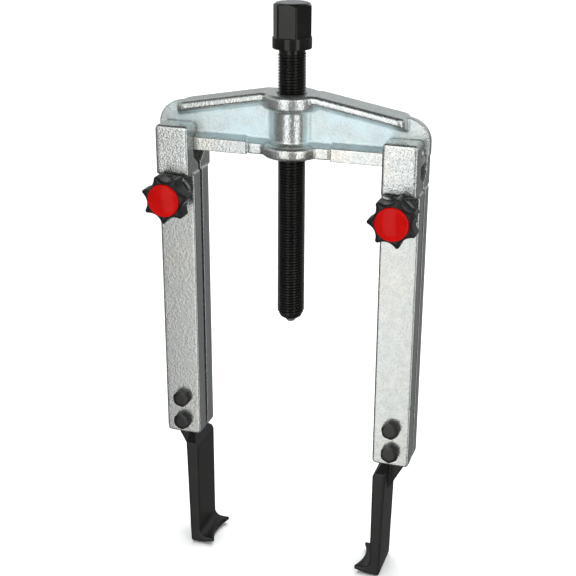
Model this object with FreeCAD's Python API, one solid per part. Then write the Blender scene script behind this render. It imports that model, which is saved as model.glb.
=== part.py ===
"""Two-arm gear puller with quick-adjusting arms and slim hooks.

Millimetres, +Z up. The origin is on the spindle's axis, in the plane of the crossbeam's flat
underside. X runs along the crossbeam and the knobs face -Y.
"""
import FreeCAD, Part
import math
import os

V = FreeCAD.Vector
X_AXIS = V(1, 0, 0)
Y_AXIS = V(0, 1, 0)
Z_AXIS = V(0, 0, 1)

NEAR = 0.01                     # positions closer than this count as the same
OVERLAP = 1.0                   # shapes that are joined or cut run this far into each other
FAR = 60.0                      # reach of a cutting shape that goes right through

# ---- spindle -----------------------------------------------------------------------------
SPINDLE_R = 7.0                 # M14 thread, crest radius
RUNNING_GAP = 0.05              # radial clearance of every running fit
HEX_FLATS = 17.0
HEX_HEIGHT = 16.2
HEX_CHAMFER = 1.8               # height of the chamfer at the corners
CROWN_SHARE = 0.95              # the chamfered face's share of the distance across flats
COLLAR_R = 9.7
COLLAR_BOTTOM = 53.2
COLLAR_HEIGHT = 5.7
COLLAR_EDGE = 0.6
NECK_R = 6.4
NECK_LENGTH = 1.2
THREAD_BOTTOM = -83.4
NOSE_CONE = 3.2                 # chamfer from the thread to the nose
NOSE_R = 4.8
NOSE_STEP = 0.6                 # the chamfer ends this much wider than the nose
NOSE_LENGTH = 0.4
NOSE_END_CONE = 0.6
NOSE_END_R = 3.9
TIP_BALL_R = 3.0
TIP_BALL_PROUD = 2.6            # how far the ball stands out of the nose

# ---- crossbeam ---------------------------------------------------------------------------
BEAM_HALF_LENGTH = 70.4
WEB_HALF = 2.5
END_CORNER_R = 12.2
FLANGE_END_X = 59.0
FLANGE_FALL = 8.1               # from the boss to the flange's end
FLANGE_HALF = 8.6
FLANGE_THICK = 4.8
FLANGE_ROOT_DROP = 1.8          # the underside falls this much towards the web
FLANGE_ROUND = 2.0
FLANGE_LOWER_EDGE = 1.4
FLANGE_CORNER_R = 4.0           # corner of the flange's end, seen from above
FLANGE_START_X = 4.0            # inside the boss
RAIL_HALF = 7.0
RAIL_HEIGHT = 6.5
RAIL_TOP_RISE = 2.2             # the rail's top face slopes up to the web
RAIL_END_X = 66.5
WEB_END_BOTTOM = 5.6            # the web overhangs the end of the rail
NOTCH_X = 22.0                  # the sliding track ends here
NOTCH_WIDTH = 0.9
NOTCH_SIDE_DEPTH = 1.5
NOTCH_TOP_DEPTH = 1.1
INNER_RAIL_STEP = 0.7           # the rail beside the boss is this much smaller
TOP_RING_R = 14.5
TOP_RING_BOTTOM = 24.0
BOSS_TOP = 31.9
RING_EDGE = 1.4
BARREL_R = 9.4
BOTTOM_RING_R = 15.0
BOTTOM_RING_TOP = 6.6
BARREL_FILLET = 3.6
FILLET_INTO_BARREL = 3.0
FLARE_OUT = 0.8                 # the barrel flares by this much where it meets a ring
FLARE_START = 0.3
FLARE_END = 1.4
COUNTERSINK = 1.2
CUTTER = 12.0                   # height of the countersinks' cutting cones

# ---- arms --------------------------------------------------------------------------------
ARM_X = 58.7
CHEEK_HALF_WIDTH = 9.8
CHEEK_THICK = 8.5
CHEEK_GAP_HALF = 1.5
CHEEK_BOTTOM = -161.2
HEAD_HALF_WIDTH = 8.9
HEAD_OFFSET = 5.4               # how far the head stands out from the cheek's face
HEAD_TOP = 13.6
HEAD_BOTTOM = -12.0
HEAD_CORNER_R = 2.0             # the head's two upper corners, seen from the front
HEAD_EDGE_R = 1.5
LIP_EDGE_R = 0.7
PLATE_CORNER_R = 2.0
PLATE_EDGE_R = 0.7
RAIL_GAP = 0.35                 # sliding clearance round the rail
POCKET_BOTTOM = -3.5
POCKET_TAPER_BOTTOM = -8.0
LIP_GAP = 0.6                   # between the head's top lip and the web
PAD_THICK = 1.2                 # raised pad on the rear cheek round the clamp screw's thread
PAD_BOTTOM = -34.0
PAD_INSET = 1.0
PAD_EDGE_R = 0.6

# ---- hooks -------------------------------------------------------------------------------
TANG_HALF_WIDTH = 8.0
TANG_TOP = -130.0
TANG_GAP = 0.05
HOOK_TOP = -161.4
HOOK_INNER = 49.8               # distance of the shank's inner face from the spindle's axis
SHANK_THICK_TOP = 7.2
SHANK_THICK = 5.7               # at the foot
HOOK_HALF_WIDTH = 12.5
HOOK_BOTTOM = -230.0
FOOT_REACH = 8.4
FOOT_THICK = 4.2
FOOT_TIP_RISE = 2.1             # the underside rises towards the tip
HEEL_R = 1.6
SHANK_EDGE_R = 1.0
FOOT_FILLET = 4.0
FOOT_ARC_R = 24.0               # concave edge of the foot
FOOT_ARC_DEPTH = 3.0
GUSSET_HALF = 3.0
GUSSET_OUT = 9.5
GUSSET_FOOT_IN = 1.0            # the gusset's foot ends this far inside the shank
GUSSET_BOTTOM = -181.0
SHOULDER_IN = 4.6               # slope at the shank's inner top corner
SHOULDER_DROP = 7.0
SHOULDER_HALF = 6.0             # half width of the shank's top, under the cheeks
SHOULDER_FRONT_DROP = 5.0

# ---- hook bolts (M5) ---------------------------------------------------------------------
BOLT_R = 2.5
BOLT_HOLE_R = 2.55
BOLT_FLATS = 8.6
BOLT_HEAD = 3.8
BOLT_CHAMFER = 0.7
BOLT_OVERLAP = 0.5              # how far the shank runs into the head
BOLT_END_SHORT = 0.6            # the shank ends this far inside the rear cheek's face
BOLT_Z = (-139.5, -153.3)

# ---- knobs -------------------------------------------------------------------------------
KNOB_Z = -22.0
LOBES = 7
LOBE_TIP_R = 12.6
LOBE_ROUND = 1.2
FLUTE_BOTTOM_R = 9.7
STAR_FRONT = -27.5
STAR_BACK = -17.3
FIRST_LOBE = {-1: -21.4, 1: 12.0}   # degrees from straight up, left knob and right knob
TRIM_DEPTH = 2.4                # the lobes' front and back edges are turned off over this depth
TRIM_OUT = 1.4
TRIM_FRONT_IN = 1.0
TRIM_BACK_IN = 1.4
HUB_R = 7.0
WASHER_R = 7.4
WASHER_THICK = 1.2
CAP_R = 8.5
CAP_RECESS = 1.6
CAP_DOME = 1.5
CAP_RIM = 0.5
CAP_GAP = 0.1
SCREW_SEAT = 2.0                # plastic between the cap's recess and the clamp screw
SCREW_END_SHORT = 0.4           # the screw ends this far inside the pad's face
SCREW_R = 4.0                   # M8 clamp screw
SCREW_CLEAR_R = 4.4

CHEEK_FACE = CHEEK_GAP_HALF + CHEEK_THICK
HEAD_FACE = CHEEK_FACE + HEAD_OFFSET


def polygon_face(points):
    """Flat face through the given points."""
    return Part.Face(Part.makePolygon(list(points) + [points[0]]))


def prism_yz(points, half_width):
    """Outline of (y, z) points, extruded half_width each way along X."""
    face = polygon_face([V(-half_width, y, z) for y, z in points])
    return face.extrude(V(2 * half_width, 0, 0))


def prism_xz(points, y_low, y_high):
    """Outline of (x, z) points, extruded from y_low to y_high."""
    face = polygon_face([V(x, y_low, z) for x, z in points])
    return face.extrude(V(0, y_high - y_low, 0))


def box(x_low, x_high, y_low, y_high, z_low, z_high):
    return Part.makeBox(x_high - x_low, y_high - y_low, z_high - z_low, V(x_low, y_low, z_low))


def upright_cylinder(radius, z_low, z_high):
    return Part.makeCylinder(radius, z_high - z_low, V(0, 0, z_low))


def y_cylinder(radius, y_low, y_high, x, z):
    return Part.makeCylinder(radius, y_high - y_low, V(x, y_low, z), Y_AXIS)


def fuse_all(shapes):
    """One clean solid from touching shapes."""
    return shapes[0].multiFuse(shapes[1:]).removeSplitter()


def edges_where(shape, test):
    """Edges whose every vertex passes test(point)."""
    return [edge for edge in shape.Edges if all(test(vertex.Point) for vertex in edge.Vertexes)]


def reaching_below(edges, z):
    """Edges with some vertex below height z."""
    return [edge for edge in edges if min(vertex.Point.z for vertex in edge.Vertexes) < z]


def is_upright(edge):
    """True for a straight edge along Z."""
    ends = [vertex.Point for vertex in edge.Vertexes]
    return len(ends) == 2 and abs(ends[0].x - ends[1].x) < NEAR and abs(ends[0].y - ends[1].y) < NEAR


def hexagon_prism(flats, height, base, axis, start):
    """Hexagonal prism; start is the direction of its first corner."""
    corner_r = flats / math.sqrt(3)
    points = []
    for i in range(6):
        turn = FreeCAD.Rotation(axis, 60 * i)
        points.append(base + turn.multVec(start) * corner_r)
    return polygon_face(points).extrude(axis * height)


def chamfered_hexagon(flats, height, chamfer, base, axis, start):
    """Hexagonal head whose far corners are turned off by a cone, as on a machined head."""
    prism = hexagon_prism(flats, height, base, axis, start)
    corner_r = flats / math.sqrt(3)
    slope = chamfer / (corner_r - flats / 2 * CROWN_SHARE)
    full_height = corner_r * slope
    cone_base = base + axis * (height - chamfer)
    cone = Part.makeCone(corner_r, 0, full_height, cone_base, axis)
    body = Part.makeCylinder(corner_r, height - chamfer, base, axis)
    return prism.common(body.fuse(cone))


def make_spindle():
    """Hex head, collar, neck, threaded length at its crest radius, and nose."""
    collar_top = COLLAR_BOTTOM + COLLAR_HEIGHT
    thread_top = COLLAR_BOTTOM - NECK_LENGTH
    cone_bottom = THREAD_BOTTOM - NOSE_CONE
    nose_bottom = cone_bottom - NOSE_LENGTH
    end = nose_bottom - NOSE_END_CONE
    outline = [
        (0, collar_top), (COLLAR_R - COLLAR_EDGE, collar_top), (COLLAR_R, collar_top - COLLAR_EDGE),
        (COLLAR_R, COLLAR_BOTTOM + COLLAR_EDGE), (COLLAR_R - COLLAR_EDGE, COLLAR_BOTTOM),
        (NECK_R, COLLAR_BOTTOM), (NECK_R, thread_top + SPINDLE_R - NECK_R), (SPINDLE_R, thread_top),
        (SPINDLE_R, THREAD_BOTTOM), (NOSE_R + NOSE_STEP, cone_bottom), (NOSE_R, cone_bottom),
        (NOSE_R, nose_bottom), (NOSE_END_R, end), (0, end),
    ]
    turned = polygon_face([V(r, 0, z) for r, z in outline]).revolve(V(0, 0, 0), Z_AXIS, 360)
    head = chamfered_hexagon(HEX_FLATS, HEX_HEIGHT, HEX_CHAMFER, V(0, 0, collar_top), Z_AXIS, X_AXIS)
    spindle = fuse_all([turned, head])
    return spindle.cut(make_ball(TIP_BALL_R + RUNNING_GAP))


def make_ball(radius):
    """The tip's ball, or its socket when made a little larger."""
    end = THREAD_BOTTOM - NOSE_CONE - NOSE_LENGTH - NOSE_END_CONE
    return Part.makeSphere(radius, V(0, 0, end - TIP_BALL_PROUD + TIP_BALL_R))


def flange_top(x):
    """Height of the top flange's upper face at x: level over the boss, then falling outwards."""
    share = max(0.0, abs(x) - TOP_RING_R) / (FLANGE_END_X - TOP_RING_R)
    return BOSS_TOP - FLANGE_FALL * share


def make_web():
    """Flat web with a quarter-round upper corner at each end."""
    corner_z = flange_top(FLANGE_END_X) - END_CORNER_R
    corner_x = BEAM_HALF_LENGTH - END_CORNER_R
    root_half = math.sqrt(0.5)
    parts = []
    for side in (-1, 1):
        top_in = V(0, 0, BOSS_TOP - WEB_HALF)
        top_out = V(side * corner_x, 0, corner_z + END_CORNER_R)
        mid = V(side * (corner_x + END_CORNER_R * root_half), 0, corner_z + END_CORNER_R * root_half)
        end = V(side * BEAM_HALF_LENGTH, 0, corner_z)
        end_foot = V(side * BEAM_HALF_LENGTH, 0, WEB_END_BOTTOM)
        step_top = V(side * RAIL_END_X, 0, WEB_END_BOTTOM)
        step_foot = V(side * RAIL_END_X, 0, 0)
        middle = V(0, 0, 0)
        wire = Part.Wire([
            Part.makeLine(middle, top_in), Part.makeLine(top_in, top_out),
            Part.Arc(top_out, mid, end).toShape(), Part.makeLine(end, end_foot),
            Part.makeLine(end_foot, step_top), Part.makeLine(step_top, step_foot),
            Part.makeLine(step_foot, middle),
        ])
        half = Part.Face(wire).extrude(V(0, 2 * WEB_HALF, 0))
        half.translate(V(0, -WEB_HALF, 0))
        parts.append(half)
    return fuse_all(parts)


def make_flange(side):
    """Top flange of one half: level at the boss, then falling outwards, with rounded edges."""
    def section(x):
        top = flange_top(x)
        low = top - FLANGE_THICK
        root = low - FLANGE_ROOT_DROP
        edge = low + FLANGE_LOWER_EDGE
        under = FLANGE_HALF - FLANGE_LOWER_EDGE
        corners = [
            (-FLANGE_HALF, top), (FLANGE_HALF, top), (FLANGE_HALF, edge), (under, low),
            (WEB_HALF, root), (-WEB_HALF, root), (-under, low), (-FLANGE_HALF, edge),
        ]
        return polygon_face([V(side * x, y, z) for y, z in corners])

    level = section(FLANGE_START_X).extrude(V(side * (TOP_RING_R - FLANGE_START_X), 0, 0))
    slope = section(TOP_RING_R).extrude(V(side * (FLANGE_END_X - TOP_RING_R), 0, -FLANGE_FALL))
    flange = fuse_all([level, slope])

    def at_corner(p):
        return abs(abs(p.x) - FLANGE_END_X) < NEAR and abs(abs(p.y) - FLANGE_HALF) < NEAR

    def on_upper_rim(p):
        outside = abs(abs(p.x) - FLANGE_END_X) < NEAR or abs(abs(p.y) - FLANGE_HALF) < NEAR
        return outside and abs(flange_top(p.x) - p.z) < NEAR

    corners = [edge for edge in edges_where(flange, at_corner) if is_upright(edge)]
    flange = flange.makeFillet(FLANGE_CORNER_R, corners)
    return flange.makeFillet(FLANGE_ROUND, edges_where(flange, on_upper_rim))


def make_rail(side):
    """Bottom rail: the sliding track, a notch where it ends, and a smaller stretch to the boss."""
    def section(half, height, low):
        return [(-half, low), (half, low), (half, height), (WEB_HALF, height + RAIL_TOP_RISE),
                (-WEB_HALF, height + RAIL_TOP_RISE), (-half, height)]

    track_length = RAIL_END_X - NOTCH_X
    track = prism_yz(section(RAIL_HALF, RAIL_HEIGHT, 0), track_length / 2)
    track.translate(V(side * (NOTCH_X + track_length / 2), 0, 0))
    step = INNER_RAIL_STEP
    inner_length = NOTCH_X - NOTCH_WIDTH
    inner = prism_yz(section(RAIL_HALF - step, RAIL_HEIGHT - step, step / 2), inner_length / 2)
    inner.translate(V(side * inner_length / 2, 0, 0))
    notch_half = RAIL_HALF - NOTCH_SIDE_DEPTH
    core = prism_yz(section(notch_half, RAIL_HEIGHT - NOTCH_TOP_DEPTH, step), NOTCH_WIDTH)
    core.translate(V(side * (NOTCH_X - NOTCH_WIDTH / 2), 0, 0))
    return fuse_all([track, inner, core])


def make_barrel_fillet(x_sign, y_sign):
    """Concave upright fillet between the barrel and one face of the web."""
    corner_x = math.sqrt(BARREL_R ** 2 - WEB_HALF ** 2)
    r = BARREL_FILLET
    centre_y = WEB_HALF + r
    centre_x = math.sqrt((BARREL_R + r) ** 2 - centre_y ** 2)
    start_x = corner_x - FILLET_INTO_BARREL
    touch_y = BARREL_R * centre_y / (BARREL_R + r)
    block = box(start_x, centre_x, 0, centre_y, BOTTOM_RING_TOP - OVERLAP, TOP_RING_BOTTOM + OVERLAP)
    round_cut = Part.makeCylinder(r, 2 * FAR, V(centre_x, centre_y, -FAR))
    past_barrel = box(0, centre_x, touch_y, FAR, -FAR, FAR)
    fillet = block.cut(round_cut).cut(past_barrel)
    if x_sign < 0:
        fillet = fillet.mirror(V(0, 0, 0), X_AXIS)
    if y_sign < 0:
        fillet = fillet.mirror(V(0, 0, 0), Y_AXIS)
    return fillet


def make_boss():
    """Turned-looking boss: top ring, barrel and bottom ring."""
    edge = RING_EDGE
    flare_r = BARREL_R + FLARE_OUT
    outline = [
        (0, 0), (BOTTOM_RING_R - edge, 0), (BOTTOM_RING_R, edge),
        (BOTTOM_RING_R, BOTTOM_RING_TOP - edge), (BOTTOM_RING_R - edge, BOTTOM_RING_TOP),
        (flare_r, BOTTOM_RING_TOP + FLARE_START), (BARREL_R, BOTTOM_RING_TOP + FLARE_END),
        (BARREL_R, TOP_RING_BOTTOM - FLARE_END), (flare_r, TOP_RING_BOTTOM - FLARE_START),
        (TOP_RING_R - edge, TOP_RING_BOTTOM), (TOP_RING_R, TOP_RING_BOTTOM + edge),
        (TOP_RING_R, BOSS_TOP - edge), (TOP_RING_R - edge, BOSS_TOP), (0, BOSS_TOP),
    ]
    return polygon_face([V(r, 0, z) for r, z in outline]).revolve(V(0, 0, 0), Z_AXIS, 360)


def make_crossbeam():
    """The forged beam with its bore for the spindle, countersunk at both mouths."""
    pieces = [make_web(), make_boss()]
    for side in (-1, 1):
        pieces.append(make_flange(side))
        pieces.append(make_rail(side))
        for y_sign in (-1, 1):
            pieces.append(make_barrel_fillet(side, y_sign))
    beam = fuse_all(pieces)
    bore_r = SPINDLE_R + RUNNING_GAP
    bore = upright_cylinder(bore_r, -CUTTER, BOSS_TOP + CUTTER)
    top_sink = Part.makeCone(bore_r, bore_r + CUTTER, CUTTER, V(0, 0, BOSS_TOP - COUNTERSINK))
    bottom_sink = Part.makeCone(bore_r + CUTTER, bore_r, CUTTER, V(0, 0, COUNTERSINK - CUTTER))
    return beam.cut(bore).cut(top_sink).cut(bottom_sink)


def make_front_cheek():
    """Front cheek of an arm at x = 0: a plate under a head that hooks over the rail."""
    face = -CHEEK_FACE
    inner = -CHEEK_GAP_HALF
    head_face = -HEAD_FACE
    pocket = -RAIL_HALF - RAIL_GAP
    lip = -WEB_HALF - LIP_GAP
    pocket_top = RAIL_HEIGHT + RAIL_GAP
    lip_slope = RAIL_TOP_RISE
    head_points = [
        (head_face, HEAD_BOTTOM), (head_face, HEAD_TOP), (lip, HEAD_TOP),
        (lip, pocket_top + lip_slope), (pocket, pocket_top), (pocket, POCKET_BOTTOM),
        (inner, POCKET_TAPER_BOTTOM),
        (inner, HEAD_BOTTOM - OVERLAP), (face, HEAD_BOTTOM - OVERLAP),
    ]
    head = prism_yz(head_points, HEAD_HALF_WIDTH)
    at_top = edges_where(head, lambda p: abs(p.z - HEAD_TOP) < NEAR)
    upper_corners = [edge for edge in at_top if abs(abs(edge.CenterOfMass.x) - HEAD_HALF_WIDTH) < NEAR]
    head = head.makeFillet(HEAD_CORNER_R, upper_corners)
    front_edges = edges_where(head, lambda p: abs(p.y - head_face) < NEAR)
    head = head.makeFillet(HEAD_EDGE_R, front_edges)
    lip_low = HEAD_TOP - HEAD_CORNER_R - NEAR
    lip_edges = edges_where(head, lambda p: abs(p.y - lip) < NEAR and p.z > lip_low)
    head = head.makeFillet(LIP_EDGE_R, lip_edges)
    plate = box(-CHEEK_HALF_WIDTH, CHEEK_HALF_WIDTH, face, inner, CHEEK_BOTTOM, HEAD_BOTTOM)
    corner_edges = edges_where(plate, lambda p: abs(p.z - CHEEK_BOTTOM) < NEAR)
    corner_edges = [edge for edge in corner_edges if abs(edge.Length - CHEEK_THICK) < NEAR]
    plate = plate.makeFillet(PLATE_CORNER_R, corner_edges)
    face_edges = edges_where(plate, lambda p: abs(p.y - face) < NEAR)
    face_edges = reaching_below(face_edges, HEAD_BOTTOM - OVERLAP)
    plate = plate.makeFillet(PLATE_EDGE_R, face_edges)
    return fuse_all([plate, head])


def drill(shape, holes):
    """Cut holes along Y, given as (radius, z)."""
    for radius, z in holes:
        shape = shape.cut(y_cylinder(radius, -FAR, FAR, 0, z))
    return shape


def make_cheek_pair():
    """Front and rear cheeks of an arm at x = 0."""
    bolt_holes = [(BOLT_HOLE_R, z) for z in BOLT_Z]
    plain = make_front_cheek()
    front = drill(plain, bolt_holes + [(SCREW_CLEAR_R, KNOB_Z)])
    rear = plain.mirror(V(0, 0, 0), Y_AXIS)
    pad_half = CHEEK_HALF_WIDTH - PAD_INSET
    pad = box(-pad_half, pad_half, CHEEK_FACE - OVERLAP, CHEEK_FACE + PAD_THICK, PAD_BOTTOM, HEAD_BOTTOM)
    pad_edges = edges_where(pad, lambda p: abs(p.y - CHEEK_FACE - PAD_THICK) < NEAR)
    pad_edges = reaching_below(pad_edges, HEAD_BOTTOM - OVERLAP)
    rear = fuse_all([rear, pad.makeFillet(PAD_EDGE_R, pad_edges)])
    rear = drill(rear, bolt_holes + [(SCREW_R + RUNNING_GAP, KNOB_Z)])
    return front, rear


def make_hook():
    """Hook of the arm at +X, in place: tang, gusset, shank and foot. Its foot points to -X."""
    inner = HOOK_INNER
    outer = HOOK_INNER + SHANK_THICK
    outer_top = HOOK_INNER + SHANK_THICK_TOP
    tip = HOOK_INNER - FOOT_REACH
    foot_top = HOOK_BOTTOM + FOOT_THICK
    outline = [
        (inner + SHOULDER_IN, HOOK_TOP), (outer_top, HOOK_TOP),
        (outer, HOOK_BOTTOM), (inner, HOOK_BOTTOM),
        (tip, HOOK_BOTTOM + FOOT_TIP_RISE), (tip, foot_top),
        (inner, foot_top), (inner, HOOK_TOP - SHOULDER_DROP),
    ]
    shank = prism_xz(outline, -HOOK_HALF_WIDTH, HOOK_HALF_WIDTH)
    root_edges = edges_where(shank, lambda p: abs(p.x - inner) < NEAR and abs(p.z - foot_top) < NEAR)
    shank = shank.makeFillet(FOOT_FILLET, root_edges)
    heel_edges = edges_where(shank, lambda p: abs(p.x - outer) < NEAR and abs(p.z - HOOK_BOTTOM) < NEAR)
    shank = shank.makeFillet(HEEL_R, heel_edges)
    long_edges = edges_where(shank, lambda p: abs(abs(p.y) - HOOK_HALF_WIDTH) < NEAR)
    long_edges = [edge for edge in long_edges if edge.Length > (HOOK_TOP - HOOK_BOTTOM) / 2]
    shank = shank.makeFillet(SHANK_EDGE_R, long_edges)
    arc_x = tip + FOOT_ARC_DEPTH - FOOT_ARC_R
    shank = shank.cut(Part.makeCylinder(FOOT_ARC_R, 3 * FOOT_THICK, V(arc_x, 0, HOOK_BOTTOM - FOOT_THICK)))
    far = 2 * HOOK_HALF_WIDTH
    slope = (HOOK_HALF_WIDTH - SHOULDER_HALF) / SHOULDER_FRONT_DROP
    for y_sign in (-1, 1):
        wedge = [
            (y_sign * SHOULDER_HALF, HOOK_TOP + NEAR), (y_sign * far, HOOK_TOP + NEAR),
            (y_sign * far, HOOK_TOP - (far - SHOULDER_HALF) / slope),
        ]
        cutter = prism_yz(wedge, SHANK_THICK_TOP)
        cutter.translate(V((inner + outer_top) / 2, 0, 0))
        shank = shank.cut(cutter)
    gusset = prism_xz([(inner + SHOULDER_IN, HOOK_TOP), (outer_top + GUSSET_OUT, HOOK_TOP),
                       (outer_top - GUSSET_FOOT_IN, GUSSET_BOTTOM), (inner + SHOULDER_IN, GUSSET_BOTTOM)],
                      -GUSSET_HALF, GUSSET_HALF)
    tang_half = CHEEK_GAP_HALF - TANG_GAP
    tang = box(ARM_X - TANG_HALF_WIDTH, ARM_X + TANG_HALF_WIDTH, -tang_half, tang_half,
               HOOK_TOP - OVERLAP, TANG_TOP)
    tang = tang.cut(box(0, inner + SHOULDER_IN, -FAR, FAR, HOOK_TOP - FAR, HOOK_TOP))
    hook = fuse_all([shank, gusset, tang])
    for z in BOLT_Z:
        hook = hook.cut(y_cylinder(BOLT_HOLE_R, -FAR, FAR, ARM_X, z))
    return hook


def make_bolts():
    """Both hook bolts of an arm at x = 0, screwed in from the front."""
    bolts = []
    for z in BOLT_Z:
        under_head = V(0, -CHEEK_FACE, z)
        head = chamfered_hexagon(BOLT_FLATS, BOLT_HEAD, BOLT_CHAMFER, under_head, V(0, -1, 0), Z_AXIS)
        shank = y_cylinder(BOLT_R, -CHEEK_FACE - BOLT_OVERLAP, CHEEK_FACE - BOLT_END_SHORT, 0, z)
        bolts.append(fuse_all([head, shank]))
    return Part.makeCompound(bolts)


def flute_radius():
    """Radius of the flutes' arcs that meet the lobes' round tips without a corner."""
    lobe_centre = LOBE_TIP_R - LOBE_ROUND
    across = lobe_centre * math.cos(math.pi / LOBES)
    part = LOBE_ROUND ** 2 - lobe_centre ** 2 - FLUTE_BOTTOM_R ** 2 + 2 * FLUTE_BOTTOM_R * across
    return part / (2 * (FLUTE_BOTTOM_R - across - LOBE_ROUND))


def star_wire(y, first_lobe):
    """Seven-lobed outline in the plane at y: round lobe tips joined by concave arcs."""
    lobe_centre = LOBE_TIP_R - LOBE_ROUND
    flute_centre = FLUTE_BOTTOM_R + flute_radius()
    half_pitch = math.pi / LOBES
    across = flute_centre * math.sin(half_pitch)
    along = flute_centre * math.cos(half_pitch) - lobe_centre
    spread = math.atan2(across, along)

    def at(radius, angle):
        return V(radius * math.sin(angle), y, KNOB_Z + radius * math.cos(angle))

    def on_lobe(number, turn):
        middle = first_lobe + 2 * half_pitch * number
        return at(lobe_centre, middle) + at(LOBE_ROUND, middle + turn) - at(0, 0)

    edges = []
    for i in range(LOBES):
        flute = at(FLUTE_BOTTOM_R, first_lobe + half_pitch * (2 * i + 1))
        edges.append(Part.Arc(on_lobe(i, -spread), on_lobe(i, 0), on_lobe(i, spread)).toShape())
        edges.append(Part.Arc(on_lobe(i, spread), flute, on_lobe(i + 1, -spread)).toShape())
    return Part.Wire(edges)


def make_knob_body(side):
    """Black star knob at x = 0, with a recess for its cap and a hole for the clamp screw."""
    first_lobe = math.radians(FIRST_LOBE[side])
    star = Part.Face(star_wire(STAR_FRONT, first_lobe)).extrude(V(0, STAR_BACK - STAR_FRONT, 0))
    wide = LOBE_TIP_R + TRIM_OUT
    front_end = STAR_FRONT + TRIM_DEPTH
    back_start = STAR_BACK - TRIM_DEPTH
    front_trim = Part.makeCone(LOBE_TIP_R - TRIM_FRONT_IN, wide, TRIM_DEPTH, V(0, STAR_FRONT, KNOB_Z), Y_AXIS)
    middle_trim = y_cylinder(wide, front_end, back_start, 0, KNOB_Z)
    back_trim = Part.makeCone(wide, LOBE_TIP_R - TRIM_BACK_IN, TRIM_DEPTH, V(0, back_start, KNOB_Z), Y_AXIS)
    star = star.common(fuse_all([front_trim, middle_trim, back_trim]))
    recess_end = STAR_FRONT + CAP_RECESS
    hub = y_cylinder(HUB_R, STAR_BACK - OVERLAP, -CHEEK_FACE - WASHER_THICK, 0, KNOB_Z)
    body = fuse_all([star, hub])
    body = body.cut(y_cylinder(CAP_R, STAR_FRONT - OVERLAP, recess_end, 0, KNOB_Z))
    return body.cut(y_cylinder(SCREW_R, recess_end + SCREW_SEAT, 0, 0, KNOB_Z))


def make_knob_cap():
    """Red cap: a shallow dome over a short cylinder, snapped into the knob's recess."""
    rim = STAR_FRONT - CAP_RIM
    cap_r = CAP_R - CAP_GAP
    cap = y_cylinder(cap_r, rim, STAR_FRONT + CAP_RECESS, 0, KNOB_Z)
    dome_r = (cap_r ** 2 + CAP_DOME ** 2) / (2 * CAP_DOME)
    dome = Part.makeSphere(dome_r, V(0, rim - CAP_DOME + dome_r, KNOB_Z))
    dome = dome.common(y_cylinder(cap_r, rim - 2 * CAP_DOME, rim + CAP_RIM, 0, KNOB_Z))
    return fuse_all([cap, dome])


def make_clamp_screw():
    """Steel stud from inside the knob through the front cheek into the rear one."""
    start = STAR_FRONT + CAP_RECESS + SCREW_SEAT
    return y_cylinder(SCREW_R, start, CHEEK_FACE + PAD_THICK - SCREW_END_SHORT, 0, KNOB_Z)


def make_clamp_washer():
    """Plain washer between the knob's hub and the front cheek."""
    ring = y_cylinder(WASHER_R, -CHEEK_FACE - WASHER_THICK, -CHEEK_FACE, 0, KNOB_Z)
    return ring.cut(y_cylinder(SCREW_R + RUNNING_GAP, -FAR, 0, 0, KNOB_Z))


def placed(shape, x):
    moved = shape.copy()
    moved.translate(V(x, 0, 0))
    return moved


def make_arm(side, name):
    """All nodes of one arm, as a dictionary of name and shape."""
    front, rear = make_cheek_pair()
    centred = {
        "front_cheek": front,
        "rear_cheek": rear,
        "hook_bolts": make_bolts(),
        "knob_body": make_knob_body(side),
        "knob_cap": make_knob_cap(),
        "clamp_screw": make_clamp_screw(),
        "clamp_washer": make_clamp_washer(),
    }
    nodes = {name + "_" + key: placed(shape, side * ARM_X) for key, shape in centred.items()}
    hook = make_hook()
    if side < 0:
        hook = hook.mirror(V(0, 0, 0), X_AXIS)
    nodes[name + "_hook"] = hook
    return nodes


def main():
    nodes = {
        "crossbeam": make_crossbeam(),
        "spindle": make_spindle(),
        "spindle_tip": make_ball(TIP_BALL_R),
    }
    nodes.update(make_arm(-1, "left"))
    nodes.update(make_arm(1, "right"))
    os.makedirs("parts", exist_ok=True)
    for name, shape in nodes.items():
        shape.exportStep("parts/" + name + ".step")
        print(name, "valid", shape.isValid(), "solids", len(shape.Solids), "volume", round(shape.Volume, 1))


main()
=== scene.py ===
"""Gear puller: forged and machined surfaces, helical spindle thread, knobs, studio and camera."""
import math

import bmesh
import bpy
from mathutils import Matrix, Vector


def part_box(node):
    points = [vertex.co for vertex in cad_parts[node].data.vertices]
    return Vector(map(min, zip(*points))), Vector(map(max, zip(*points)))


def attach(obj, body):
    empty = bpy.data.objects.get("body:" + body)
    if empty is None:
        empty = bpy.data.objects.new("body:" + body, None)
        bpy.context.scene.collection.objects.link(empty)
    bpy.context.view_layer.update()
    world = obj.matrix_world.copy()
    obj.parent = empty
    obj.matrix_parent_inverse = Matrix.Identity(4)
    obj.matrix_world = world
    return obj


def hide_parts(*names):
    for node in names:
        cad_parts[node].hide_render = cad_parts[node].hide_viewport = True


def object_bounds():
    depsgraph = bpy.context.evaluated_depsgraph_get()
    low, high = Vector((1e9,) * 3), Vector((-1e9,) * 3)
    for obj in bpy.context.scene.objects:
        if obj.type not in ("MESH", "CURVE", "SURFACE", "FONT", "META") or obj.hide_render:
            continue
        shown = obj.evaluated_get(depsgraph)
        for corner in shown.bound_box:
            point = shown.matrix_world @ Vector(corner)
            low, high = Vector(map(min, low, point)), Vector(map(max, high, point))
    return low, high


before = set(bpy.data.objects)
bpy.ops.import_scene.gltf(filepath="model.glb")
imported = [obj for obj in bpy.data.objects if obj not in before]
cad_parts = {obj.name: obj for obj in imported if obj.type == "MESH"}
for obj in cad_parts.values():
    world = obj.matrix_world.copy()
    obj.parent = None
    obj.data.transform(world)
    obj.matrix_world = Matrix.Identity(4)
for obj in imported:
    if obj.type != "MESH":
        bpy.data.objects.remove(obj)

cad_low, cad_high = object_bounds()
MM = 0.001
SIDES = ("left", "right")

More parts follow.
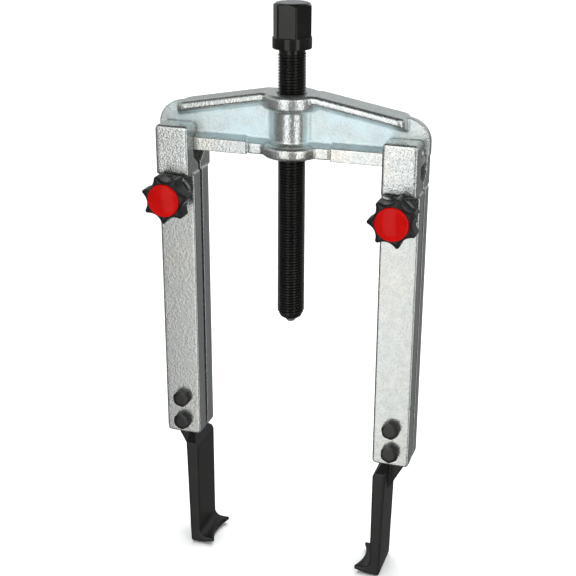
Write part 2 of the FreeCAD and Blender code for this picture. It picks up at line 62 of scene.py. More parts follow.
# ---- spindle sizes, as in the CAD --------------------------------------------------------
SPINDLE_LOW, SPINDLE_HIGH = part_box("spindle")
THREAD_R = 7.0 * MM
THREAD_PITCH = 1.5 * MM
THREAD_DEPTH = 0.92 * MM
HEX_FLATS = 17.0 * MM
HEX_HEIGHT = 16.2 * MM
HEX_CHAMFER = 1.8 * MM
CROWN_SHARE = 0.95                  # a hexagon's chamfered face, as a share of its flats
COLLAR_R = 9.7 * MM
COLLAR_HEIGHT = 5.7 * MM
NECK_R = 6.4 * MM
NECK_LENGTH = 1.2 * MM
NOSE_CONE = 3.2 * MM
NOSE_R = 4.8 * MM
NOSE_STEP = 0.6 * MM
NOSE_LENGTH = 0.4 * MM
NOSE_END_CONE = 0.6 * MM
NOSE_END_R = 3.9 * MM

# ---- spindle finish ----------------------------------------------------------------------
CREST_ROUND = 0.04 * MM             # the thread's crest is rounded off by this much
THREAD_FADE = 0.8                   # slope of the thread's run-out under the neck
COLLAR_ROUND = 0.6 * MM
NOSE_ROUND = 0.3 * MM
CORNER_ROUND = 0.25 * MM            # hexagons lose this much at their corners
CROWN_DROP = 0.12 * MM              # rounding between a hexagon's chamfer and its flat end
SHELL_OVERLAP = 2.0 * MM            # how far the spindle's shells run into each other
CENTRE_R = 0.2 * MM                 # turned surfaces close with a disc of this radius

# ---- knob sizes, as in the CAD -----------------------------------------------------------
LOBES = 7
LOBE_TIP_R = 12.6 * MM
LOBE_ROUND = 1.2 * MM
FLUTE_BOTTOM_R = 9.7 * MM
FIRST_LOBE = {"left": 111.4, "right": 78.0}     # degrees from +X towards +Z
STAR_DEPTH = 10.2 * MM
HUB_R = 7.0 * MM
CAP_R = 8.4 * MM
CAP_GAP = 0.1 * MM
CAP_RECESS = 1.6 * MM

# ---- knob and cap finish -----------------------------------------------------------------
LIP_WIDTH = 0.3 * MM                # rounded lip round the cap
LIP_DEPTH = 0.25 * MM
FACE_EDGE_IN = 0.55 * MM            # the front face ends this far inside the star's outline
FACE_FALL = 0.9 * MM                # and this much lower than the lip
FACE_CURVE = 1.6
FRONT_EDGE = ((1.3 * MM, 0.05 * MM), (2.1 * MM, 0.0))                      # depth, inset
BACK_EDGE = ((1.0 * MM, 0.05 * MM), (0.3 * MM, 0.4 * MM), (0.0, 1.2 * MM))  # rise, inset
HUB_FILLET = 1.0 * MM
HUB_CHAMFER = 0.4 * MM
CAP_CROWN = 1.45 * MM               # height of the cap's dome
CAP_CURVE = 2.2
CAP_EDGE = 0.35 * MM                # rounded edge between the dome and the skirt
CAP_EDGE_IN = 0.1 * MM
CAP_SKIRT_END = 3.2 * MM            # depth of the skirt's hidden end under the dome's top
CAP_SUNK = 0.02 * MM                # the dome's top stays this far inside the CAD's box
DOME_STEPS = 12

# ---- hook bolt sizes, as in the CAD ------------------------------------------------------
BOLT_FLATS = 8.6 * MM
BOLT_HEAD = 3.8 * MM
BOLT_R = 2.5 * MM
BOLT_CHAMFER = 0.7 * MM
BOLT_TURNS = (30, 44)               # turn of the lower and the upper head, in degrees
SHANK_IN_HEAD = 0.2 * BOLT_HEAD     # how far the shank runs into the head

# ---- forgings: voxel, smoothing passes, depth and size of the cast grain ------------------
BEAM_FORGING = (0.5 * MM, 7, 0.10 * MM, 0.9 * MM)
CHEEK_FORGING = (0.5 * MM, 5, 0.08 * MM, 0.7 * MM)
HOOK_FORGING = (0.4 * MM, 5, 0.02 * MM, 1.5 * MM)

# ---- zinc plate --------------------------------------------------------------------------
ZINC_METALLIC = 0.95
CAST_DEPTH = 0.15 * MM              # depth of the plate's bumps

# Where its finishes change, in millimetres from the frame's origin.
MILLED_TOP = -12.5                  # the cheeks' sides are milled under this height
COARSE_END = -6.0                   # the cheeks' coarse grain starts to fade under this one
COARSE_FADE = 12.0                  # and has faded this much lower
FILM_ACROSS = (5.0, 6.2)            # the beam's blue film ends between these across the beam
FILM_ALONG = (52.0, 68.0)           # and between these along it

# ---- studio, in metres -------------------------------------------------------------------
FLOOR_GAP = 0.4 * MM
FLOOR_HALF = 6.0
SOFTBOX_DISTANCE = 0.8
SOFTBOX_HEIGHT = 1.5
# Name, azimuth in degrees from -Y towards +X, width and radiance.
SOFTBOXES = (("left_softbox", -12, 0.40, 1.85), ("right_softbox", 50, 0.28, 2.2))
OVERHEAD_PLACE = (0.0, 0.9, 2.4)
OVERHEAD_SIZE = (3.0, 3.0)
OVERHEAD_RADIANCE = 4.6
PALE_BAND = (0.72, 0.75, 0.76)
# Height, from 0 straight down over 0.5 at the horizon to 1 straight up, and brightness.
ROOM = ((0.34, 0.19), (0.50, 0.34), (0.62, PALE_BAND), (0.74, PALE_BAND), (0.90, 0.05))

# ---- camera: lens in millimetres, angles in degrees, place in metres ---------------------
LENS = 74.1
AZIMUTH = 18.06
ELEVATION = 21.36
ROLL = 0.26
CAMERA_PLACE = (0.1775, -0.5492, 0.1541)


# ---- mesh helpers ------------------------------------------------------------------------
def new_object(name, vertices, faces, smooth=True):
    """Object from vertices in metres in the part's frame, with outward normals."""
    mesh = bpy.data.meshes.new(name)
    mesh.from_pydata([tuple(v) for v in vertices], [], faces)
    work = bmesh.new()
    work.from_mesh(mesh)
    bmesh.ops.remove_doubles(work, verts=work.verts, dist=1e-7)
    bmesh.ops.dissolve_degenerate(work, edges=work.edges, dist=1e-8)
    bmesh.ops.recalc_face_normals(work, faces=work.faces)
    work.to_mesh(mesh)
    work.free()
    if smooth:
        mesh.shade_smooth()
    piece = bpy.data.objects.new(name, mesh)
    bpy.context.collection.objects.link(piece)
    return piece


def ring_stack(rings, steps):
    """Closed surface of rings. Each ring is a function of angle giving (radius, height)."""
    vertices = []
    faces = []
    for ring in rings:
        for j in range(steps):
            angle = 2 * math.pi * j / steps
            radius, height = ring(angle)
            vertices.append(Vector((radius * math.cos(angle), radius * math.sin(angle), height)))
    for i in range(len(rings) - 1):
        for j in range(steps):
            k = (j + 1) % steps
            faces.append((i * steps + j, i * steps + k, (i + 1) * steps + k, (i + 1) * steps + j))
    last = (len(rings) - 1) * steps
    faces.append(tuple(range(steps)))
    faces.append(tuple(range(last, last + steps)))
    return vertices, faces


def plain(radius, height):
    """Round ring."""
    return lambda angle: (radius, height)


def turned(outline, steps):
    """Closed surface of revolution from (radius, height) points."""
    return ring_stack([plain(radius, height) for radius, height in outline], steps)


def rounded_profile(points, radius, steps=4):
    """(radius, height) outline with each inner corner replaced by a small arc."""
    result = [points[0]]
    for before, corner, after in zip(points, points[1:], points[2:]):
        a, b, c = Vector(before), Vector(corner), Vector(after)
        cut = min(radius, (a - b).length * 0.45, (c - b).length * 0.45)
        start = b + (a - b).normalized() * cut
        end = b + (c - b).normalized() * cut
        for i in range(steps + 1):
            t = i / steps
            result.append(tuple((1 - t) ** 2 * start + 2 * t * (1 - t) * b + t ** 2 * end))
    result.append(points[-1])
    return result


def join_parts(parts):
    """Vertices and faces of several closed shells as one list."""
    vertices = []
    faces = []
    for part_vertices, part_faces in parts:
        first = len(vertices)
        vertices += part_vertices
        faces += [tuple(first + index for index in face) for face in part_faces]
    return vertices, faces


def sharpen(piece, degrees):
    """Smooth shading that keeps edges sharper than the given angle."""
    work = bmesh.new()
    work.from_mesh(piece.data)
    limit = math.radians(degrees)
    for edge in work.edges:
        if len(edge.link_faces) == 2 and edge.calc_face_angle(0) > limit:
            edge.smooth = False
    work.to_mesh(piece.data)
    work.free()


def face_front(piece, place):
    """Turns a piece built along +Z to face -Y, with its origin at place."""
    turn = Matrix.Rotation(math.radians(90), 4, "X")
    piece.data.transform(Matrix.Translation(place) @ turn)


def forge(node, name, voxel, passes, grain, grain_size):
    """Forged version of a CAD node: its edges rounded, its roots filleted, finely pitted."""
    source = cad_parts[node]
    piece = bpy.data.objects.new(name, source.data.copy())
    piece.data.materials.clear()
    piece.matrix_world = source.matrix_world.copy()
    bpy.context.collection.objects.link(piece)
    remesh = piece.modifiers.new("remesh", "REMESH")
    remesh.mode = "VOXEL"
    remesh.voxel_size = voxel
    remesh.use_smooth_shade = True
    smooth = piece.modifiers.new("smooth", "SMOOTH")
    smooth.factor = 0.5
    smooth.iterations = passes
    texture = bpy.data.textures.new(name + "_grain", "CLOUDS")
    texture.noise_scale = grain_size
    texture.noise_depth = 2
    displace = piece.modifiers.new("grain", "DISPLACE")
    displace.texture = texture
    displace.texture_coords = "LOCAL"
    displace.strength = grain
    displace.mid_level = 0.5
    graph = bpy.context.evaluated_depsgraph_get()
    mesh = bpy.data.meshes.new_from_object(piece.evaluated_get(graph), depsgraph=graph)
    piece.modifiers.clear()
    piece.data = mesh
    mesh.shade_smooth()
    return piece


# ---- material helpers --------------------------------------------------------------------
def as_colour(shade):
    """Grey or (red, green, blue) as Blender's four numbers."""
    if isinstance(shade, (int, float)):
        return (shade, shade, shade, 1.0)
    return (*shade, 1.0)


def fill_ramp(colour_ramp, stops):
    """Sets a ramp's stops, given as (position, grey or colour)."""
    elements = colour_ramp.elements
    for element, (position, shade) in zip(elements, (stops[0], stops[-1])):
        element.position = position
        element.color = as_colour(shade)
    for position, shade in stops[1:-1]:
        elements.new(position).color = as_colour(shade)


class Nodes:
    """Short way to write a material's node tree in object coordinates."""

    def __init__(self, name):
        self.material = bpy.data.materials.new(name)
        self.material.use_nodes = True
        self.tree = self.material.node_tree
        self.shader = self.tree.nodes["Principled BSDF"]
        self.place = self.add("ShaderNodeTexCoord").outputs["Object"]

    def add(self, kind, **settings):
        node = self.tree.nodes.new(kind)
        for key, value in settings.items():
            setattr(node, key, value)
        return node

    def put(self, value, socket):
        """Links a computed value to a socket, or sets a plain one."""
        if isinstance(value, bpy.types.NodeSocket):
            self.tree.links.new(value, socket)
        elif socket.type == "RGBA":
            socket.default_value = as_colour(value)
        else:
            socket.default_value = value

    def noise(self, scale, detail=3.0, roughness=0.55, stretch=None):
        """Fractal noise, 0 to 1, with scale cells to the metre."""
        node = self.add("ShaderNodeTexNoise")
        self.put(scale, node.inputs["Scale"])
        self.put(detail, node.inputs["Detail"])
        self.put(roughness, node.inputs["Roughness"])
        self.put(self.stretched(stretch), node.inputs["Vector"])
        return node.outputs["Fac"]

    def stretched(self, stretch):
        """Object coordinates, scaled along each axis."""
        if stretch is None:
            return self.place
        mapping = self.add("ShaderNodeMapping")
        self.put(stretch, mapping.inputs["Scale"])
        self.put(self.place, mapping.inputs["Vector"])
        return mapping.outputs["Vector"]

    def cells(self, scale):
        """Distance to the nearest of many scattered points."""
        node = self.add("ShaderNodeTexVoronoi")
        self.put(scale, node.inputs["Scale"])
        self.put(self.place, node.inputs["Vector"])
        return node.outputs["Distance"]

    def ramp(self, value, stops):
        """Value to value or colour."""
        node = self.add("ShaderNodeValToRGB")
        fill_ramp(node.color_ramp, stops)
        self.put(value, node.inputs["Fac"])
        return node.outputs["Color"]

    def mix(self, factor, first, second):
        """first at factor 0, second at factor 1."""
        node = self.add("ShaderNodeMix", data_type="RGBA")
        self.put(factor, node.inputs[0])
        self.put(first, node.inputs[6])
        self.put(second, node.inputs[7])
        return node.outputs[2]

    def math(self, operation, first, second=0.0):
        node = self.add("ShaderNodeMath", operation=operation)
        self.put(first, node.inputs[0])
        self.put(second, node.inputs[1])
        return node.outputs[0]

    def plus(self, first, second):
        return self.math("ADD", first, second)

    def minus(self, first, second):
        return self.math("SUBTRACT", first, second)

    def times(self, first, second):
        return self.math("MULTIPLY", first, second)

    def faded(self, value, mask, share):
        """value, reduced by a share of itself where mask is 1."""
        return self.times(value, self.minus(1.0, self.times(mask, share)))

    def aligned(self, first, second):
        """Cosine of the angle between two unit directions."""
        node = self.add("ShaderNodeVectorMath", operation="DOT_PRODUCT")
        self.put(first, node.inputs[0])
        self.put(second, node.inputs[1])
        return node.outputs["Value"]

    def edges(self, radius):
        """1 along convex and concave edges, 0 on open faces."""
        bevel = self.add("ShaderNodeBevel", samples=4)
        self.put(radius, bevel.inputs["Radius"])
        normal = self.add("ShaderNodeNewGeometry").outputs["Normal"]
        away = self.minus(1.0, self.aligned(bevel.outputs["Normal"], normal))
        return self.ramp(away, [(0.03, 0.0), (0.35, 1.0)])

    def facing(self, axis, low, high):
        """1 where the surface faces along the given axis of the part, either way."""
        normal = self.add("ShaderNodeNewGeometry").outputs["True Normal"]
        along = self.math("ABSOLUTE", self.aligned(normal, axis))
        return self.ramp(along, [(low, 0.0), (high, 1.0)])

    def coordinate(self, name):
        """One coordinate in the part's frame, in metres."""
        parts = self.add("ShaderNodeSeparateXYZ")
        self.put(self.place, parts.inputs[0])
        return parts.outputs[name]

    def within(self, axis, near, far):
        """1 up to near from the part's middle along an axis, 0 beyond far; in millimetres."""
        away = self.times(self.math("ABSOLUTE", self.coordinate(axis)), 1 / (2 * far * MM))
        return self.ramp(away, [(near / (2 * far), 1.0), (0.5, 0.0)])

    def below(self, height, blend):
        """0 above the given height, 1 a little under it; in millimetres along Z."""
        drop = self.times(self.minus(height * MM, self.coordinate("Z")), 1 / (blend * MM))
        return self.ramp(drop, [(0.0, 0.0), (1.0, 1.0)])

    def bump(self, height, strength, distance):
        node = self.add("ShaderNodeBump")
        self.put(distance, node.inputs["Distance"])
        self.put(strength, node.inputs["Strength"])
        self.put(height, node.inputs["Height"])
        return node.outputs["Normal"]

    def finish(self, colour, roughness, normal, metallic, specular=0.5):
        """Connects the shader. The specular level is one value for the whole surface."""
        self.put(colour, self.shader.inputs["Base Color"])
        self.put(roughness, self.shader.inputs["Roughness"])
        self.put(normal, self.shader.inputs["Normal"])
        self.put(metallic, self.shader.inputs["Metallic"])
        self.shader.inputs["Specular IOR Level"].default_value = specular
        return self.material


# ---- materials ---------------------------------------------------------------------------
def zinc_plate(n, specks):
    """Colour, roughness, dark pits and height of plated castings; specks is how dark the pits are."""
    blotches = n.noise(55, 3)
    cloudy = n.noise(260, 4, 0.6)
    grain = n.noise(1250, 3, 0.65)
    base = n.ramp(blotches, [
        (0.3, (0.54, 0.58, 0.58)), (0.52, (0.59, 0.60, 0.58)), (0.75, (0.62, 0.59, 0.53))])
    base = n.mix(n.ramp(cloudy, [(0.35, 0.0), (0.7, 0.35)]), base, (0.46, 0.49, 0.49))
    rough = n.plus(n.times(cloudy, 0.16), 0.18)
    pitted = n.times(n.ramp(grain, [(0.38, 1.0), (0.52, 0.0)]), specks)
    height = n.plus(n.times(grain, 0.9), n.times(n.cells(900), 0.5))
    return base, rough, pitted, height


def zinc_pits_wear_and_highlight(n, base, pitted):
    """Dark pits, and brighter edges over the plate's colour: partly rubbed wear, partly a painted
    highlight along convex and concave edges.
    """
    base = n.mix(pitted, base, (0.17, 0.19, 0.19))
    # painted highlight: convex and concave edges mixed towards near-white, partly rubbed wear
    return n.mix(n.times(n.edges(0.5 * MM), 0.2), base, (0.86, 0.88, 0.88))


def zinc_beam_material():
    """Zinc plate whose blue passivation film stays on the web and off the rims and level tops."""
    n = Nodes("zinc_beam")
    base, rough, pitted, height = zinc_plate(n, specks=0.35)
    level = n.facing((0, 0, 1), 0.93, 0.98)
    inside = n.times(n.within("Y", *FILM_ACROSS), n.minus(1.0, level))
    inside = n.times(inside, n.within("X", *FILM_ALONG))
    patchy = n.ramp(n.noise(90, 3), [(0.35, 0.45), (0.6, 1.0)])
    covered = n.times(n.times(inside, patchy), 0.9)
    base = n.mix(covered, base, (0.60, 0.75, 0.78))
    base = zinc_pits_wear_and_highlight(n, base, n.faded(pitted, covered, 0.7))
    rough = n.plus(rough, n.times(inside, 0.16))
    metallic = n.minus(ZINC_METALLIC, n.times(covered, 0.4))
    return n.finish(base, rough, n.bump(height, 0.75, CAST_DEPTH), metallic)


def zinc_cheek_material():
    """Zinc plate, coarse on the head, finer under it, and milled smooth on the cheek's sides."""
    n = Nodes("zinc_cheek")
    base, rough, pitted, height = zinc_plate(n, specks=0.55)
    lower = n.below(COARSE_END, COARSE_FADE)
    base = n.mix(n.times(lower, 0.7), base, (0.40, 0.41, 0.39))
    base = zinc_pits_wear_and_highlight(n, base, n.faded(pitted, lower, 0.75))
    milled = n.times(n.facing((1, 0, 0), 0.75, 0.95), n.below(MILLED_TOP, 1.0))
    lines = n.noise(700, 2, 0.5, (1, 1, 0.03))
    milled_colour = n.ramp(lines, [(0.3, (0.40, 0.42, 0.43)), (0.7, (0.54, 0.57, 0.58))])
    base = n.mix(n.times(milled, 0.85), base, milled_colour)
    rough = n.mix(milled, rough, n.plus(n.times(lines, 0.12), 0.26))
    strength = n.faded(n.minus(0.9, n.times(lower, 0.45)), milled, 0.8)
    return n.finish(base, rough, n.bump(height, strength, CAST_DEPTH), ZINC_METALLIC)


def black_oxide_material(name, rough_low, edge_radius, gloss, grain, wear_and_glint):
    """Hot black finish with an oil film, lighter and more metallic along its convex and concave
    edges: partly rubbed wear, partly painted glints; the last argument is their brightness.
    """
    n = Nodes(name)
    broad = n.noise(90, 4, 0.6)
    fine = n.noise(900, 3, 0.6)
    base = n.ramp(broad, [
        (0.3, (0.004, 0.004, 0.004)), (0.55, (0.007, 0.007, 0.006)), (0.8, (0.013, 0.012, 0.010))])
    # painted glints: convex and concave edges made lighter and more metallic, partly rubbed wear
    lighter_edges = n.times(n.edges(edge_radius), n.ramp(fine, [(0.35, 0.0), (0.65, 0.5)]))
    base = n.mix(lighter_edges, base, (wear_and_glint, 0.95 * wear_and_glint, 0.9 * wear_and_glint))
    rough = n.plus(n.times(broad, 0.18), rough_low)
    height = n.plus(fine, n.times(n.noise(2600, 2), 0.5))
    return n.finish(base, rough, n.bump(height, grain, 0.06 * MM), n.plus(lighter_edges, 0.2), gloss)


def steel_material(name, colour):
    """Ground steel with fine turning marks."""
    n = Nodes(name)
    marks = n.noise(1200, 2, 0.5, (1, 1, 6))
    tint = n.noise(300, 3)
    darker = tuple(0.7 * channel for channel in colour)
    base = n.mix(n.ramp(tint, [(0.3, 0.0), (0.7, 0.5)]), colour, darker)
    rough = n.plus(n.times(marks, 0.2), 0.16)
    return n.finish(base, rough, n.bump(marks, 0.2, 0.02 * MM), 1.0)


def knob_material():
    """Black moulded plastic with a fine spark-eroded texture and scuffed lobe edges."""
    n = Nodes("knob_plastic")
    mottle = n.noise(240, 3)
    base = n.ramp(mottle, [(0.3, 0.006), (0.7, 0.012)])
    lighter_edges = n.times(n.edges(0.5 * MM), n.ramp(mottle, [(0.4, 0.0), (0.7, 0.3)]))
    base = n.mix(lighter_edges, base, (0.05, 0.05, 0.052))
    rough = n.plus(n.times(mottle, 0.14), 0.18)
    return n.finish(base, rough, n.bump(n.noise(3200, 2), 0.16, 0.03 * MM), 0.0, 0.2)


def cap_material():
    """Glossy red moulded plastic with faint flow waviness and hairline scratches."""
    n = Nodes("cap_plastic")
    wave = n.noise(160, 2)
    scratch = n.noise(900, 2, 0.5, (1, 1, 0.08))
    base = n.ramp(wave, [(0.3, (0.36, 0.002, 0.002)), (0.7, (0.42, 0.004, 0.003))])
    rough = n.plus(n.ramp(scratch, [(0.55, 0.0), (0.75, 0.12)]), 0.12)
    height = n.plus(wave, n.times(scratch, 0.15))
    return n.finish(base, rough, n.bump(height, 0.12, 0.08 * MM), 0.0, 0.08)


def floor_material():
    """Pale matt studio board."""
    n = Nodes("floor_board")
    fine = n.noise(40, 2)
    base = n.ramp(fine, [(0.3, 0.86), (0.7, 0.88)])
    rough = n.ramp(fine, [(0.0, 0.8), (1.0, 0.9)])
    return n.finish(base, rough, n.bump(fine, 0.02, 0.1 * MM), 0.0)


ZINC_BEAM = zinc_beam_material()
ZINC_CHEEK = zinc_cheek_material()
# the spindle's edges are the lightest: partly wear, partly painted glints on its thread's crests and
# its hexagon's corners
BLACK_SPINDLE = black_oxide_material("black_oxide_spindle", 0.03, 0.25 * MM, 0.30, 0.12, 0.30)
BLACK_HOOK = black_oxide_material("black_oxide_hook", 0.32, 0.4 * MM, 0.45, 0.28, 0.08)
BLACK_BOLT = black_oxide_material("black_oxide_bolt", 0.22, 0.3 * MM, 0.5, 0.28, 0.12)
STEEL = steel_material("ground_steel", (0.62, 0.62, 0.63))
KNOB = knob_material()
CAP = cap_material()


def dress(piece, material, body, node):
    """Gives a new piece its material and body, and hides the CAD node that it stands for."""
    piece.data.materials.append(material)
    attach(piece, body)
    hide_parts(node)


def paint_node(node, material):
    """Puts a material on a CAD node that stays in sight."""
    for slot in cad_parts[node].material_slots:
        slot.material = material


# ---- spindle -----------------------------------------------------------------------------
def thread_shell(z_low, z_high, steps=48):
    """Helical thread between two heights, fading out at the top and onto the nose's chamfer."""
    root_r = THREAD_R - THREAD_DEPTH
    crest_r = THREAD_R - CREST_ROUND
    profile = [(0.0, root_r), (0.06, root_r), (0.41, crest_r), (0.45, THREAD_R),
               (0.57, THREAD_R), (0.61, crest_r), (0.96, root_r)]
    nose_top_r = NOSE_R + NOSE_STEP
    chamfer_slope = (THREAD_R - nose_top_r) / NOSE_CONE
    turns = math.ceil((z_high - z_low) / THREAD_PITCH) + 2
    rows = [(turn + share, radius) for turn in range(-1, turns) for share, radius in profile]
    vertices = []
    for position, radius in rows:
        for j in range(steps):
            angle = 2 * math.pi * j / steps
            height = z_low + THREAD_PITCH * (position + j / steps - 1)
            height = min(max(height, z_low), z_high)
            fade = root_r + THREAD_FADE * (z_high - height)
            chamfer = nose_top_r + chamfer_slope * (height - z_low)
            reach = min(radius, fade, chamfer)
            vertices.append(Vector((reach * math.cos(angle), reach * math.sin(angle), height)))
    faces = []
    for i in range(len(rows) - 1):
        for j in range(steps - 1):
            a = i * steps + j
            faces.append((a, a + 1, a + steps + 1, a + steps))
    for i in range(len(rows) - len(profile) - 1):
        a = i * steps + steps - 1
        b = (i + len(profile)) * steps
        faces.append((a, b, b + steps, a + steps))
    return vertices, faces


def hexagon_radius(flats, angle):
    """Distance to a hexagon's outline, with slightly rounded corners, one of them at 0."""
    from_flat = angle % (math.pi / 3) - math.pi / 6
    return min(flats / 2 / math.cos(from_flat), flats / math.sqrt(3) - CORNER_ROUND)


def hex_head(flats, base, top, chamfer, steps=144):
    """Hexagonal head whose corners are turned off by a cone at its top."""
    crown_r = flats / 2 * CROWN_SHARE
    slope = chamfer / (flats / math.sqrt(3) - crown_r)

    def foot(angle):
        return hexagon_radius(flats, angle), base

    def shoulder(angle):
        radius = hexagon_radius(flats, angle)
        return radius, top - (radius - crown_r) * slope

    rings = [plain(0.4 * flats, base), foot, shoulder, plain(0.97 * crown_r, top - CROWN_DROP)]
    rings += [plain(share * crown_r, top) for share in (0.9, 0.6, 0.2)]
    return ring_stack(rings, steps)


def collar_shell(collar_top):
    """Collar and neck; the neck's end is hidden in the thread."""
    bottom = collar_top - COLLAR_HEIGHT
    neck_end = bottom - NECK_LENGTH - SHELL_OVERLAP
    outline = rounded_profile([
        (CENTRE_R, collar_top), (COLLAR_R, collar_top), (COLLAR_R, bottom), (NECK_R, bottom),
        (NECK_R, neck_end), (CENTRE_R, neck_end)], COLLAR_ROUND)
    return turned(outline, 96)


def nose_shell(low, nose_top):
    """Stepped nose; its upper end is hidden in the thread."""
    hidden_top = nose_top + SHELL_OVERLAP
    step_r = NOSE_R + NOSE_STEP
    outline = rounded_profile([
        (CENTRE_R, hidden_top), (step_r, hidden_top), (step_r, nose_top), (NOSE_R, nose_top),
        (NOSE_R, nose_top - NOSE_LENGTH), (NOSE_END_R, low), (CENTRE_R, low)], NOSE_ROUND)
    return turned(outline, 72)


def make_spindle():
    """Hex head, collar, thread and nose as one piece."""
    top = SPINDLE_HIGH.z
    low = SPINDLE_LOW.z
    collar_top = top - HEX_HEIGHT
    thread_top = collar_top - COLLAR_HEIGHT - NECK_LENGTH
    nose_top = low + NOSE_END_CONE + NOSE_LENGTH
    shell = join_parts([
        hex_head(HEX_FLATS, collar_top, top, HEX_CHAMFER), collar_shell(collar_top),
        thread_shell(nose_top, thread_top), nose_shell(low, nose_top)])
    piece = new_object("spindle_screw", *shell)
    sharpen(piece, 28)
    dress(piece, BLACK_SPINDLE, "spindle", "spindle")


# ---- knobs -------------------------------------------------------------------------------
def flute_radius():
    """Radius of the flutes' arcs that meet the lobes' round tips without a corner."""
    lobe_centre = LOBE_TIP_R - LOBE_ROUND
    across = lobe_centre * math.cos(math.pi / LOBES)
    part = LOBE_ROUND ** 2 - lobe_centre ** 2 - FLUTE_BOTTOM_R ** 2 + 2 * FLUTE_BOTTOM_R * across
    return part / (2 * (FLUTE_BOTTOM_R - across - LOBE_ROUND))


def star_radius(angle):
    """Distance to the star's outline, with a lobe at 0: concave flutes between round tips."""
    half_pitch = math.pi / LOBES
    from_flute = abs(angle % (2 * half_pitch) - half_pitch)
    from_lobe = half_pitch - from_flute
    flute_r = flute_radius()
    flute_distance = FLUTE_BOTTOM_R + flute_r
    flute_centre = flute_distance * Vector((math.cos(half_pitch), math.sin(half_pitch)))
    lobe_centre = Vector((LOBE_TIP_R - LOBE_ROUND, 0.0))
    joint = lobe_centre + (flute_centre - lobe_centre).normalized() * LOBE_ROUND
    if from_lobe < math.atan2(joint.y, joint.x):
        side = lobe_centre.x * math.sin(from_lobe)
        return lobe_centre.x * math.cos(from_lobe) + math.sqrt(LOBE_ROUND ** 2 - side ** 2)
    side = flute_distance * math.sin(from_flute)
    return flute_distance * math.cos(from_flute) - math.sqrt(flute_r ** 2 - side ** 2)


def knob_shell(first_lobe, back):
    """Star knob along +Z, its lip at 0: the cap's seat, the lobes and the hub down to back."""
    seat = CAP_R + CAP_GAP
    lip = seat + LIP_WIDTH
    star_back = -STAR_DEPTH

    def star(height, inset=0.0):
        return lambda angle: (star_radius(angle - first_lobe) - inset, height)

    def face(share):
        """Ring of the front face, which falls gently from the lip to the lobes."""
        def ring(angle):
            outer = star_radius(angle - first_lobe) - FACE_EDGE_IN
            return lip + (outer - lip) * share, -FACE_FALL * share ** FACE_CURVE
        return ring

    rings = [plain(CENTRE_R, -CAP_RECESS), plain(seat, -CAP_RECESS), plain(seat, -LIP_DEPTH)]
    rings += [plain(seat + 0.4 * LIP_WIDTH, -0.2 * LIP_DEPTH), plain(lip, 0.0)]
    rings += [face(share) for share in (0.0, 0.35, 0.7, 1.0)]
    rings += [star(-depth, inset) for depth, inset in FRONT_EDGE]
    rings += [star(star_back * share) for share in (0.35, 0.6, 0.8)]
    rings += [star(star_back + rise, inset) for rise, inset in BACK_EDGE]
    for out, down in ((1.0, 0.0), (0.3, 0.3), (0.0, 1.0)):
        rings.append(plain(HUB_R + HUB_FILLET * out, star_back - HUB_FILLET * down))
    rings += [plain(HUB_R, back + HUB_CHAMFER), plain(HUB_R - HUB_CHAMFER, back)]
    rings.append(plain(CENTRE_R, back))
    return ring_stack(rings, LOBES * 32)


def knob_axis(side):
    """X and height of a knob's axis."""
    low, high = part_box(side + "_clamp_washer")
    centre = (low + high) / 2
    return centre.x, centre.z


def make_knob(side):
    low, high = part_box(side + "_knob_body")
    x, z = knob_axis(side)
    shell = knob_shell(math.radians(FIRST_LOBE[side]), low.y - high.y)
    piece = new_object(side + "_star_knob", *shell)
    face_front(piece, Vector((x, low.y, z)))
    sharpen(piece, 40)
    dress(piece, KNOB, side + "_knob", side + "_knob_body")


def make_cap(side):
    """Domed cap with a rounded rim; its skirt ends inside the knob."""
    low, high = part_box(side + "_knob_cap")
    centre = (low + high) / 2
    dome_r = CAP_R - CAP_EDGE
    outline = [
        (CENTRE_R, -CAP_SKIRT_END), (CAP_R, -CAP_SKIRT_END), (CAP_R, -CAP_CROWN - CAP_EDGE),
        (CAP_R - CAP_EDGE_IN, -CAP_CROWN - CAP_EDGE_IN)]
    for i in range(DOME_STEPS + 1):
        radius = dome_r + (CENTRE_R - dome_r) * i / DOME_STEPS
        outline.append((radius, -CAP_CROWN * (radius / CAP_R) ** CAP_CURVE))
    piece = new_object(side + "_cap_dome", *turned(outline, 96))
    face_front(piece, Vector((centre.x, low.y + CAP_SUNK, centre.z)))
    sharpen(piece, 50)
    dress(piece, CAP, side + "_knob", side + "_knob_cap")


# ---- hook bolts --------------------------------------------------------------------------
def make_bolts(side):
    """Two hex heads with their shanks, as one piece."""
    low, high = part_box(side + "_hook_bolts")
    corner = BOLT_FLATS / math.sqrt(3)
    x = (low.x + high.x) / 2
    bolt = join_parts([
        hex_head(BOLT_FLATS, -BOLT_HEAD, 0.0, BOLT_CHAMFER),
        turned([(BOLT_R, SHANK_IN_HEAD - BOLT_HEAD), (BOLT_R, low.y - high.y)], 32)])
    parts = []
    for z, turn in zip((low.z + corner, high.z - corner), BOLT_TURNS):
        place = Matrix.Translation(Vector((x, low.y, z)))
        place = place @ Matrix.Rotation(math.radians(90), 4, "X")
        place = place @ Matrix.Rotation(math.radians(turn), 4, "Z")
        parts.append(([place @ v for v in bolt[0]], bolt[1]))
    piece = new_object(side + "_hex_bolts", *join_parts(parts))
    sharpen(piece, 25)
    dress(piece, BLACK_BOLT, side + "_arm", side + "_hook_bolts")


# ---- forged pieces -----------------------------------------------------------------------
def make_beam():
    piece = forge("crossbeam", "beam_forging", *BEAM_FORGING)
    dress(piece, ZINC_BEAM, "crossbeam", "crossbeam")


def make_arm_forgings(side):
    """Both cheeks and the hook of one arm."""
    for part, sizes, material, slot in (
            ("_front_cheek", CHEEK_FORGING, ZINC_CHEEK, "zinc"),
            ("_rear_cheek", CHEEK_FORGING, ZINC_CHEEK, "zinc"),
            ("_hook", HOOK_FORGING, BLACK_HOOK, "black_oxide")):
        node = side + part
        piece = forge(node, node + "_forging", *sizes)
        dress(piece, material, side + "_arm", node)


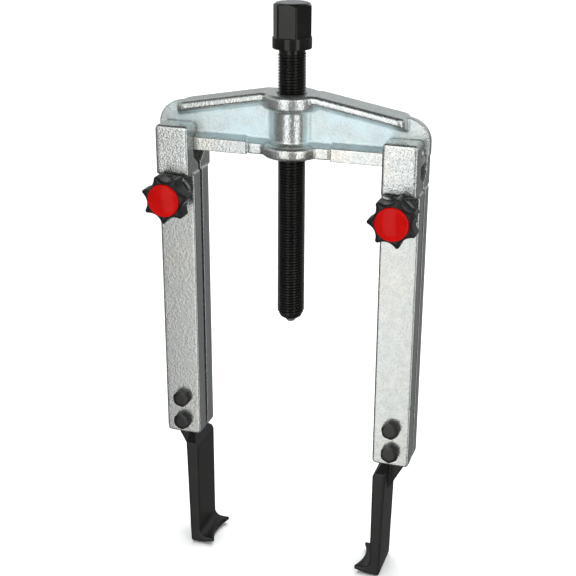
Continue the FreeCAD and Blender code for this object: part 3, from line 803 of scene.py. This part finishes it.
# ---- studio ------------------------------------------------------------------------------
def make_floor():
    """Pale board. Mirror-like faces see the dim room below the horizon in place of it."""
    z = cad_low.z - FLOOR_GAP
    half = FLOOR_HALF
    corners = [(-half, -half, z), (half, -half, z), (half, half, z), (-half, half, z)]
    floor = new_object("studio_floor", corners, [(0, 1, 2, 3)], smooth=False)
    floor.data.materials.append(floor_material())
    floor.visible_glossy = False
    floor.visible_shadow = False


def area_light(name, place, target, size, radiance):
    """Rectangular light, given by the brightness of its face."""
    data = bpy.data.lights.new(name, "AREA")
    data.shape = "RECTANGLE"
    data.size, data.size_y = size
    data.energy = radiance * math.pi * size[0] * size[1]
    lamp = bpy.data.objects.new(name, data)
    lamp.location = place
    lamp.rotation_euler = (Vector(target) - Vector(place)).to_track_quat("-Z", "Y").to_euler()
    bpy.context.collection.objects.link(lamp)
    return lamp


def make_lights():
    """Tall softboxes round the part, and an overhead light that leaves no reflection."""
    for name, azimuth, width, radiance in SOFTBOXES:
        turn = math.radians(azimuth)
        place = (SOFTBOX_DISTANCE * math.sin(turn), -SOFTBOX_DISTANCE * math.cos(turn), 0.0)
        area_light(name, place, (0.0, 0.0, 0.0), (width, SOFTBOX_HEIGHT), radiance)
    under = (OVERHEAD_PLACE[0], OVERHEAD_PLACE[1], 0.0)
    overhead = area_light("overhead_light", OVERHEAD_PLACE, under, OVERHEAD_SIZE, OVERHEAD_RADIANCE)
    overhead.visible_glossy = False


def make_room():
    """World with a pale band a little above the horizon, dim below it and dark overhead."""
    world = bpy.data.worlds.new("studio")
    world.use_nodes = True
    tree = world.node_tree
    direction = tree.nodes.new("ShaderNodeTexCoord").outputs["Generated"]
    parts = tree.nodes.new("ShaderNodeSeparateXYZ")
    lift = tree.nodes.new("ShaderNodeMath")
    lift.operation = "MULTIPLY_ADD"
    lift.inputs[1].default_value = 0.5
    lift.inputs[2].default_value = 0.5
    ramp = tree.nodes.new("ShaderNodeValToRGB")
    fill_ramp(ramp.color_ramp, ROOM)
    tree.links.new(direction, parts.inputs[0])
    tree.links.new(parts.outputs["Z"], lift.inputs[0])
    tree.links.new(lift.outputs[0], ramp.inputs["Fac"])
    tree.links.new(ramp.outputs["Color"], tree.nodes["Background"].inputs["Color"])
    bpy.context.scene.world = world


def make_camera():
    """Long lens from in front, above and to the right of the part."""
    data = bpy.data.cameras.new("camera")
    data.lens = LENS
    data.sensor_width = 36.0
    data.clip_start = 0.01
    azimuth, elevation, roll = (math.radians(v) for v in (AZIMUTH, ELEVATION, ROLL))
    back = Vector((
        math.sin(azimuth) * math.cos(elevation),
        -math.cos(azimuth) * math.cos(elevation),
        math.sin(elevation)))
    level = (-back).to_track_quat("-Z", "Y")
    camera = bpy.data.objects.new("camera", data)
    camera.rotation_mode = "QUATERNION"
    camera.rotation_quaternion = level @ Matrix.Rotation(roll, 3, "Z").to_quaternion()
    camera.location = CAMERA_PLACE
    bpy.context.collection.objects.link(camera)
    bpy.context.scene.camera = camera


make_spindle()
make_beam()
for side in SIDES:
    make_arm_forgings(side)
for side in SIDES:
    make_knob(side)
    make_cap(side)
    make_bolts(side)
    paint_node(side + "_clamp_screw", STEEL)
    paint_node(side + "_clamp_washer", STEEL)
paint_node("spindle_tip", STEEL)
make_floor()
make_room()
make_lights()
make_camera()
bpy.context.scene.view_settings.view_transform = "Standard"
